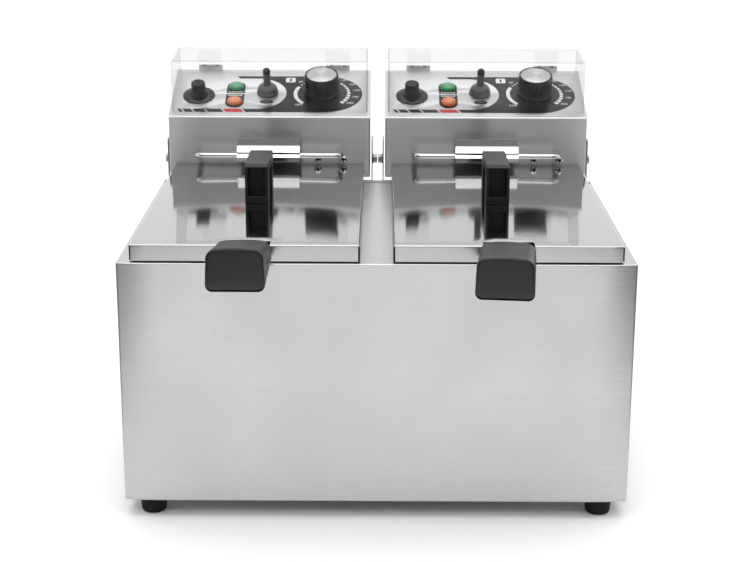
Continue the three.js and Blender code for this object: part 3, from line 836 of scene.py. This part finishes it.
def make_lid(unit):
    low, high = unit.box("lid")
    bend, crown, settle = 2.0, 2.0, 1.35
    x_in, y_in = high.x - bend, low.y + bend
    xs = spaced(-x_in, -NOTCH_HALF, NOTCH_HALF, x_in)
    ys = spaced(y_in, low.y + NOTCH_DEPTH, high.y)
    bm = bmesh.new()
    flat = high.z - settle

    def top(x, y):
        along = sin(pi * min(1, max(0, (y - y_in) / (high.y - y_in))) ** 1.45)
        return (x, y, flat + crown * along * (1 - (x / x_in) ** 2))

    grid = [[bm.verts.new(top(x, y)) for y in ys] for x in xs]
    for i in range(len(xs) - 1):
        beside_notch = abs(xs[i] + xs[i + 1]) / 2 >= NOTCH_HALF
        for j in range(len(ys) - 1):
            if beside_notch or ys[j] >= low.y + NOTCH_DEPTH - 0.1:
                bm.faces.new((grid[i][j], grid[i + 1][j], grid[i + 1][j + 1], grid[i][j + 1]))
    # A skirt leaves the top by a bend: (out, down) from the edge of the flat.
    fold = [(bend * sin(a), bend * (cos(a) - 1)) for a in (radians(d) for d in (30, 60, 90))]
    fold.append((bend, low.z - flat))

    def add_skirt(edge, *out):
        rows = [edge]
        for reach, drop in fold:
            level = [Vector((v.co.x, v.co.y, flat)) for v in edge]
            rows.append([bm.verts.new(p + Vector((*out, 0)) * reach + Vector((0, 0, drop))) for p in level])
        for a, b in zip(rows, rows[1:]):
            for k in range(len(edge) - 1):
                face = bm.faces.new((a[k], a[k + 1], b[k + 1], b[k]))
                face.material_index = int(b is rows[-1])
        return rows

    first = add_skirt([column[0] for x, column in zip(xs, grid) if x <= -NOTCH_HALF], 0, -1)
    second = add_skirt([column[0] for x, column in zip(xs, grid) if x >= NOTCH_HALF], 0, -1)
    flanks = add_skirt(grid[0], -1, 0), add_skirt(grid[-1], 1, 0)
    # The corners are closed over the bend and stay open below it.
    for corner, front, flank, k in ((grid[0][0], first, flanks[0], 0), (grid[-1][0], second, flanks[1], -1)):
        a = [row[k] for row in front[:4]]
        b = [row[0] for row in flank[:4]]
        for i in range(1, 3):
            bm.faces.new((a[i], a[i + 1], b[i + 1], b[i]))
        bm.faces.new((corner, a[1], b[1]))
    unit.add("lid_shell", bm, ("bright", "skirt"), "lid", "lid", solid=0.8)


def make_lid_grip(unit):
    low, high = unit.box("lid_handle")
    leg, gap_top, recess = 22, 54, 15
    foot = low.z + 0.2
    outline = [(low.y, foot), (low.y + leg, foot), (low.y + leg, gap_top), (high.y - leg, gap_top)]
    outline += [(high.y - leg, foot), (high.y, foot), (high.y, high.z - 3), (high.y - 4, high.z)]
    outline += [(low.y + 4, high.z), (low.y, high.z - 3)]
    ends = ((low.y - 2, low.y + recess), (high.y - recess, high.y + 2))
    cutters = [block((low.x + 3.6, y0, low.z + 8), (high.x - 3.6, y1, high.z - 4.5)) for y0, y1 in ends]
    bm = subtract(prism(outline, low.x, high.x), *cutters)
    unit.add("lid_grip", bm, "phenolic", "lid_handle", "lid", bevel=2.4)
    # Two screws hold the grip from below.
    spots = [(0, y, low.z - 1.2) for y in (low.y + leg / 2, high.y - leg / 2)]
    unit.add("lid_grip_screws", screws(4, 2, "down", spots), SCREW_STEEL_AND_RECESS_SHADE, None, "lid", sharp=40)


# Control head
def make_head(unit):
    low, high = unit.box("head_housing")
    lower = high.z - (high.y - low.y) * tan(PANEL_TILT)
    bm = prism([(low.y, low.z), (high.y, low.z), (high.y, high.z), (low.y, lower)], low.x, high.x)
    face_out(bm)
    bends = [e for e in bm.edges if min(v.co.y for v in e.verts) < high.y - 1]
    round_off(bm, [e for e in bends if min(v.co.z for v in e.verts) < lower - 1], 1.8)
    bm.faces.remove(widest(bm, 1, 1))
    slope = max(bm.faces, key=lambda f: f.calc_area() * (0.5 < f.normal.z < 0.99))
    bmesh.ops.inset_individual(bm, faces=[slope], thickness=9)
    bm.faces.remove(slope)
    unit.add("head_shell", bm, "face", "head_housing", solid=SHEET)
    spots = [(x, low.y, 26) for x in (62.5, 95)]
    unit.add("face_screws", screws(4.9, 3.0, "front", spots), SCREW_STEEL_AND_RECESS_SHADE, sharp=40)
    low, high = unit.box("head_rear_cover")
    slots = [rounded(x - 2.5, 48, x + 2.5, 78, 2.4) for x in (-40, -24, -8, 8, 24, 40)]
    bm = plate(rounded(low.x, low.z, high.x, high.z, 3), slots, 0, SHEET, 0.2)
    moved(bm, shift(0, low.y, 0) @ rot("X", 90) @ Matrix.Scale(-1, 4, (0, 0, 1)))
    unit.add("head_back", bm, "satin", "head_rear_cover", sharp=40)
    spots = [(x, high.y, z) for x in (-118, 118) for z in (16, 104)]
    unit.add("head_back_screws", screws(3.2, 1.7, "back", spots), SCREW_STEEL_AND_RECESS_SHADE, sharp=40)


def make_gland(unit):
    low, high = unit.box("cable_gland")
    centre = Vector(((low.x + high.x) / 2, low.y, (low.z + high.z) / 2))
    nut = [(4.1, 0), (10.6, 0), (11, 0.6), (11, 4.4), (10.4, 5), (4.1, 5)]
    bm = turned(nut, 48, lambda a, r, z: hexagon(a, r) if r > 5 else r, looped=True)
    dome = [(4.1, 5.02), (8.8, 5.02), (9.2, 6.5), (9.2, 12.8), (8.6, 14.2), (7.2, 15.6), (5.6, 16)]
    dome.append((4.1, 15.4))
    ribs = lambda a, r, z: r - 0.35 * (cos(a * 12) > 0.2) if 6.4 < z < 13 and r > 5 else r
    turned(dome, 96, ribs, True, bm)
    place = unit.place @ Matrix.Translation(centre * MM) @ rot("X", -90)
    unit.add("gland", bm, "gloss", "cable_gland", place=place, sharp=35)


def make_bracket(unit):
    low, high = unit.box("head_bracket")
    head_low, head_high = unit.box("head_housing")
    thickness, back, ear_outside = 1.5, low.y, high.x - 3
    bm = block((-ear_outside + 1, back, low.z), (ear_outside - 1, back + thickness, 0))
    neck = head_low.y + 9
    outline = [(back, low.z), (back + 27, low.z), (high.y, -20), (high.y, high.z), (neck, high.z)]
    outline += [(neck, 2), (back, -8)]
    ear = bent(outline, 4, 5, closed=True)
    for x in (-ear_outside, ear_outside - thickness):
        prism(ear, x, x + thickness, bm)
    unit.add("head_yoke", bm, "zinc", "head_bracket", bevel=0.3)
    # A hex bolt goes through each ear. Between the units it has a nut, and its thread shows.
    parts = []
    start = ear_outside - 0.05
    for way, sign in (("left", -1), ("right", 1)):
        inner = way != unit.side
        length, limit = (7.4, 9.2) if inner else (5.4, 6.4)
        limit += head_high.x - start
        nut = [(5.5, 0.9), (5.9, 1.2), (5.9, length - 1.6), (5.5, length - 1.3)]
        tip = [(4.6, 2.5), (4.6, length - 1.3), (3.9, length - 1)]
        if inner:
            tip = [(2.9 + 0.3 * (k % 2), 3 + 0.3 * k) for k in range(10)]
        washer = [(6.3, 0), (6.5, 0.2), (6.5, 0.7), (6.3, 0.9)]
        spot = facing((sign * start, head_low.y + 18, 24), way)
        rounds = 24 if inner else 32
        for profile, segments, shape in ((washer, 32, None), (nut, 48, hexagon), (tip, rounds, None)):
            parts.append(moved(turned([(r, min(z, limit)) for r, z in profile], segments, shape), spot))
    unit.add("pivot_bolts", merged(*parts), "bolt", sharp=30)


def make_element(unit):
    low, high = unit.box("heating_element")
    radius, reach, inner = 4, high.x - 4, 21
    front, back, legs = low.y + 4, high.y, 360
    up, down = high.z - radius, low.z + radius
    half = [(reach, back, up), (reach, legs, up), (reach, legs, down), (reach, front, down)]
    half += [(inner, front, down), (inner, legs - 45, down)]
    path = [(-x, y, z) for x, y, z in half] + half[::-1]
    unit.add("tube_element", bar(bent(path, 14, 8), radius, 16), "element", "heating_element", sharp=60)
    bulb_z = down + 14
    path = [(0, back, up), (0, legs + 4, up), (0, legs + 4, bulb_z), (0, legs - 10, bulb_z)]
    bm = bar(bent(path, 10, 8), 1.6, 10)
    bar([(0, legs - y, bulb_z) for y in (6, 8, 84, 86)], 3, 16, bm=bm)
    unit.add("sensing_bulb", bm, "wire", "thermostat_bulb", sharp=60)


def make_hanger(unit):
    low, high = unit.box("hanger_rod")
    radius = (high.z - low.z) / 2
    z = (low.z + high.z) / 2
    x, y = high.x - radius, low.y + radius
    path = [(-x, high.y, z), (-x, y, z), (x, y, z), (x, high.y, z)]
    unit.add("drain_rod", bar(bent(path, 9, 8), radius, 24), "wire", "hanger_rod", sharp=60)
    low, high = unit.box("hanger_plate")
    path = [(high.y, high.z), (low.y + 6.2, high.z - 4.6), (low.y + 2.5, z + 4.4), (low.y + 2.4, z + 2.4)]
    path += [(low.y + 0.5, z - 1.9), (low.y + 0.1, low.z)]
    bm = prism(strip_of(bent(path, 0.9, 4), 1.0), low.x, high.x)
    bm.normal_update()
    # Faces that look up or down take the darker copy, painted shade; the others take the lighter copy,
    # painted light.
    for face in bm.faces:
        face.material_index = int(abs(face.normal.z) > 0.9)
    unit.add("drain_plate", bm, ("plate", "fold"), "hanger_plate", bevel=0.3)


# Controls
def panel_place(unit):
    """The panel's frame: X across, Y up the slope and Z out of it, from the middle of its front edge."""
    low, _ = unit.box("control_panel")
    origin = Vector((0, low.y, low.z + SHEET * cos(PANEL_TILT)))
    return unit.place @ Matrix.Translation(origin * MM) @ Matrix.Rotation(PANEL_TILT, 4, "X")


def on_panel(unit, node):
    """The middle of a control on the panel, as X and Y in the panel's frame."""
    low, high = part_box(unit.named(node))
    spot = panel_place(unit).inverted() @ ((low + high) / 2)
    return spot.x / MM, spot.y / MM


def standing_on(unit, node):
    """A control's own frame, which stands on the panel."""
    return panel_place(unit) @ Matrix.Translation(Vector((*on_panel(unit, node), 0)) * MM)


PANEL_LENGTH = 121.2
NOSE_RADIUS = 2.8
NOSE_START = NOSE_RADIUS * tan((pi / 2 - PANEL_TILT) / 2)
LABEL_TOP = 0.3
INK = 0.06                       # a layer of ink, drawn thicker than it is
HOLES = {"thermostat_knob": 5, "reset_cap": 5, "lamp_green": 5, "lamp_orange": 5, "toggle_switch": 6.4}


def slanted(x0, x1, s0=11.2, s1=18.9, slant=4.4):
    """A bar between two heights whose ends lean to the left."""
    return [(x0 + slant / 2, s0), (x1 + slant / 2, s0), (x1 - slant / 2, s1), (x0 - slant / 2, s1)]


def ring_sector(centre, inner, outer, start, end):
    steps = max(2, round(abs(end - start) / 6))
    return arc(centre, outer, start, end, steps) + arc(centre, inner, end, start, steps)


def add_print(bm, outline, layer=0):
    """Ink on the label, in thin layers over each other."""
    base = LABEL_TOP + INK * layer
    plate(outline, (), base, base + INK, bm=bm)


def add_figures(bm, text, size, x, y, thickness=0.1):
    """Plain figures, centred on a point of the label."""
    curve = given(bpy.data.curves.new("figures", "FONT"), body=text, size=size, align_x="CENTER",
                  align_y="CENTER", resolution_u=3, extrude=thickness / 2)
    from_curve(curve, shift(x, y, LABEL_TOP + INK + thickness / 2), bm)


def make_panel(unit):
    place = panel_place(unit)
    half = unit.box("control_panel")[1].x
    knob, cap, green, orange, toggle = spots = [on_panel(unit, node) for node in HOLES]
    holes = [circle(spot, radius, 24) for spot, radius in zip(spots, HOLES.values())]
    bm = plate(rounded(-half, NOSE_START, half, PANEL_LENGTH, 0.6), holes, -SHEET, 0, 0.1)
    # Its front edge is folded down to the head's front.
    nose = arc((NOSE_START, -NOSE_RADIUS), NOSE_RADIUS, 90, 180 - degrees(PANEL_TILT), 10)
    nose += [(nose[-1][0] + 0.8, nose[-1][1] + 0.3), (NOSE_START + 0.3, -SHEET), (NOSE_START + 0.3, 0)]
    prism(nose, -half, half, bm)
    unit.add("panel_plate", bm, "satin", "control_panel", place=place, sharp=50)
    bm = plate(rounded(-half + 4, 4, half - 4, PANEL_LENGTH - 6, 3), holes, 0, LABEL_TOP, 0.1)
    unit.add("panel_label", bm, "label", place=place, sharp=50)

    black, white, grey, red = (bmesh.new() for _ in range(4))
    # The dark field ends round the thermostat at the right and leaves a light half-ellipse at the toggle.
    s0, s1, strip, middle = 11.2, 103.0, 7.7, 57.1
    field = [(-31, s0), (69, s0)]
    field += arc((69, middle), (49.5, middle - s0), -90, 90, 32)
    field += [(-48, s1), (-44, s1 - 6)]
    field += arc((-20, middle + 0.9), (39.4, middle + 0.9 - s0 - strip), 90, -90, 32)
    add_print(black, field + [(-36, s0 + strip)])
    for x0, x1 in ((-118, -113.5), (-111.3, -100.6), (-98.2, -84), (-81.4, -61.6)):
        add_print(black, slanted(x0, x1))
    add_print(red, slanted(-59, -36))
    # Dark surrounds of the two lamps, with plain dashes for their captions.
    for (x, s), sign, reach in ((green, 1, 15.3), (orange, -1, 19.4)):
        surround = [(x - 12, s - sign * reach), (x + 12, s - sign * reach)]
        add_print(black, surround + arc((x, s + sign * 2), 12, 0, sign * 180, 20))
        caption = s - sign * (reach - 2.9)
        for dash in (x - 9 + k * 3.8 for k in range(5)):
            add_print(white, rounded(dash, caption - 1, dash + 2.6, caption + 1, 0.3), 1)
    off = (toggle[0], toggle[1] - 24.5)
    add_print(black, circle(off, (9.2, 4.4)))
    add_figures(grey, "OFF", 4.8, *off)
    add_print(white, rounded(17, 87, 30, 99, 2.4), 1)
    add_print(black, rounded(22.3, 89.2, 24.7, 97, 0.4), 2)
    # The dial: a plain arc for the lower range, then blocks that widen towards the hottest.
    add_print(white, ring_sector(knob, 32.2, 37, 150, 226), 1)
    for angle in (142, 134, 126, 118):
        add_print(white, ring_sector(knob, 33.2, 36.4, angle - 2.2, angle), 1)
    for k in range(9):
        angle = 48 - k * 10.4
        add_print(white, ring_sector(knob, 34.4 - 0.3 * k, 37 + 0.08 * k, angle, angle - 7.4), 1)
    dial = (("60", -28.7, 30.6), ("OFF", -29.5, -29), ("130", 27.5, 34.6), ("150", 38.5, 23.6))
    for text, x, s in (*dial, ("170", 45, 8.6), ("190", 43.6, -8.4), ("200", 37, -24)):
        add_figures(white, text, 6.0, knob[0] + x, knob[1] + s)
    for colour, bm in (("black", black), ("white", white), ("grey", grey), ("red", red)):
        unit.add(f"print_{colour}", bm, f"{colour}_ink", place=place, close=False)


def make_knob(unit):
    place = standing_on(unit, "thermostat_knob")

    def grooved(angle, radius, z):
        share = min(1, max(0, (z - 6.2) / 1.6)) * min(1, max(0, (27.2 - z) / 1.4))
        return radius - 0.75 * share * (1 - abs(sin(angle * 10))) ** 3

    profile = [(17, 2.6), (22.4, 2.6), (23.1, 3.2), (23.1, 4.8), (22.5, 5.6), (22.2, 6.2), (22.2, 7.8)]
    profile += [(22.2, 16), (22.2, 25.8), (22.1, 27.2), (21.6, 28.6), (20.9, 29.3), (19.9, 29.45)]
    profile += [(19.5, 29.2), (19.4, 28.5)]
    unit.add("knob_body", turned(profile, 240, grooved), "gloss", "thermostat_knob", "knob", place, sharp=50)
    bm = turned([(19.3, 28.4), (19.3, 28.9), (18.9, 29.1), (6, 29.0), (0.6, 28.9)], 96)
    unit.add("knob_disc", bm, "disc", None, "knob", place, sharp=40)
    pointer = block((-22.5, -0.6, 24), (-19.9, 0.6, 29.5))
    unit.add("knob_pointer", pointer, "white_ink", None, "knob", place, bevel=0.2)


def make_cap(unit):
    base = turned([(6, 0.32), (20.2, 0.32), (20.9, 0.9), (20.8, 1.6), (19.6, 2.3), (14, 3.0), (11, 3.1)], 72)
    collar = turned([(11.4, 3.0), (11.9, 3.4), (11.9, 5.6), (10.9, 6.2), (9, 6.3)], 48, hexagon)

    def ribbed(angle, radius, z):
        return radius - 0.45 * (abs(sin(angle * 9)) ** 0.7) if 7 < z < 18.6 else radius

    stem = turned([(9.2, 5.5), (9.4, 7.4), (9.3, 12), (9.2, 18.4), (8.9, 19.4), (8.1, 20.0)], 144, ribbed)
    slot = moved(block((-12, -0.9, 18.2), (12, 0.9, 22)), rot("Z", -38))
    bm = merged(base, collar, subtract(stem, slot))
    unit.add("cap", bm, "gloss", "reset_cap", "cap", standing_on(unit, "reset_cap"), sharp=35)


def make_toggle(unit):
    place = standing_on(unit, "toggle_switch")
    bm = turned([(5, -8), (6, -7.8), (6, 0.3), (5, 0.32)], 32)
    block((-8, -14, -30), (8, 14, -SHEET - 0.3), bm)
    boot = [(6, 0.35), (13.2, 0.35), (13.9, 0.8), (13.9, 2.3), (13.3, 2.9), (13, 3.3), (13, 5)]
    boot += [(12.6, 6.9), (11.7, 8.7), (10.2, 10.4), (8.4, 11.5), (7.2, 11.9), (6.9, 12.3), (6.2, 12.9)]
    boot.append((4.9, 13))
    unit.add("boot", turned(boot, 64, bm=bm), "boot", "toggle_switch", place=place, sharp=40)
    pivot = place @ Matrix.Translation(Vector((0, 0, 8)) * MM) @ rot("X", 10)
    bm = turned([(3.4, 5), (4.7, 5.2), (4.8, 6.2), (4.8, 16), (4.8, 23.0), (4.4, 23.9)], 40)
    unit.add("lever_sleeve", bm, "boot", "toggle_lever", "lever", pivot, sharp=50)
    tip = [(3.9, 23.8), (4.6, 24.1), (4.9, 25)]
    tip += [(4.9 * cos(radians(a)), 26.8 + 4.7 * sin(radians(a))) for a in range(0, 90, 12)]
    unit.add("lever_tip", turned(tip, 40), "gloss", None, "lever", pivot, sharp=50)


def make_lamps(unit):
    profile = [(4.4, -18), (4.6, -17.8), (4.6, 0.35), (9.5, 0.4), (9.9, 0.7), (9.9, 1.6), (9.6, 2.2)]
    profile += [(9.4 * cos(radians(a)), 2.2 + 4.3 * sin(radians(a))) for a in range(8, 88, 8)]
    for colour in ("green", "orange"):
        node = f"lamp_{colour}"
        unit.add(f"lens_{colour}", turned(profile, 64), colour, node, place=standing_on(unit, node), sharp=50)


# Clear cover and its hinges
BARREL_RADIUS = 2.7


def make_cover(unit):
    low, high = unit.box("safety_cover")
    wall, drop, leaf_z, largest_bend = 2.0, 5.5, 130, 2000
    top_rear_y, front_z = high.y - 8, low.z + 0.1
    rear_z = front_z + (high.y - low.y) * tan(PANEL_TILT)
    outline = [(low.y, front_z), (high.y, rear_z), (top_rear_y, high.z), (low.y, high.z - drop)]
    bm = prism(outline, low.x, high.x)
    face_out(bm)
    under = min(bm.faces, key=lambda f: f.normal.z)
    bends = [e for e in bm.edges if e not in set(under.edges)]
    bm.faces.remove(under)
    # The small bend faces take the less clear copy of the sheet, painted shade along the bends.
    for face in round_off(bm, bends, 2.0)["faces"]:
        face.material_index = int(face.calc_area() < largest_bend)
    unit.add("clear_cover", bm, ("clear", "bend"), "safety_cover", "cover", solid=wall)
    # Each hinge has a barrel and a fixed leaf on the head's back, and a leaf on the cover's rear wall.
    lean = atan2(high.y - top_rear_y, high.z - rear_z)
    wall_y = Vector((0, high.y + 0.25 - (leaf_z - rear_z) * tan(lean), 0)).y
    for end in ("{}_a", "{}_b"):
        low, high = unit.box(f"cover_hinge_{end}")
        pin_y, pin_z = high.y - BARREL_RADIUS, high.z - BARREL_RADIUS
        middle = (low.x + high.x) / 2
        half = high.x - middle
        parts = []
        for start, stop in ((-half, -half * 0.36), (-half * 0.32, half * 0.32), (half * 0.36, half)):
            edge = [(2.3, start), (BARREL_RADIUS, start + 0.4), (BARREL_RADIUS, stop - 0.4), (2.3, stop)]
            parts.append(moved(turned(edge, 28), shift(middle, pin_y, pin_z) @ rot("Y", 90)))
        leaf = plate(rounded(-half, low.z, half, pin_z, 1.6), (), 0, 1.3, 0.25)
        parts.append(moved(leaf, shift(middle, low.y + 1.3, 0) @ rot("X", 90)))
        spots = [(middle + x, low.y + 1.2, low.z + 9) for x in (-half * 0.6, half * 0.6)]
        bm = merged(*parts, screws(3, 1.1, "back", spots))
        # The hinge's pale grey is painted light for its steel's bright reflection, and its screw recesses
        # take painted shade.
        unit.add(f"hinge_{end}", bm, ("hinge", "recess"), f"cover_hinge_{end}", sharp=40)
        place = shift(middle, wall_y, leaf_z) @ (Matrix.Rotation(pi / 2 + lean, 4, "X") @ rot("Y", 180))
        tang = [(wall_y + 0.2, leaf_z), (wall_y + 0.2, leaf_z + 1.4), (pin_y + 1.6, pin_z + 2.4)]
        tang.append((pin_y - 1.2, pin_z + 1.4))
        tangs = [prism(tang, x, x + 5.2) for x in (middle - 10.6, middle + 5.4)]
        bm = merged(moved(plate(rounded(-16, 0, 16, 22, 2), (), 0, 1.2, 0.2), place), *tangs)
        unit.add(f"hinge_leaf_{end}", bm, "frosted", None, "cover", sharp=40)


def dress_inner_parts(unit):
    """The switch gear inside the head keeps its CAD shape and gets a moulded finish."""
    for node in ("thermostat_body", "safety_cutout"):
        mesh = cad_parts[unit.named(node)].data
        mesh.materials.clear()
        mesh.materials.append(MATERIALS["phenolic"])


# Assembly
make_studio()
whole_casing = Part()
both_units = [Part("left"), Part("right")]
make_shell(whole_casing, both_units)
for make in (make_rear_panel, make_bottom, make_feet):
    make(whole_casing)
for fryer_unit in both_units:
    for make in (
        make_tank, make_basket, make_grip, make_lid, make_lid_grip, make_head, make_gland, make_bracket,
        make_element, make_hanger, make_panel, make_knob, make_cap, make_toggle, make_lamps, make_cover,
        dress_inner_parts,
    ):
        make(fryer_unit)
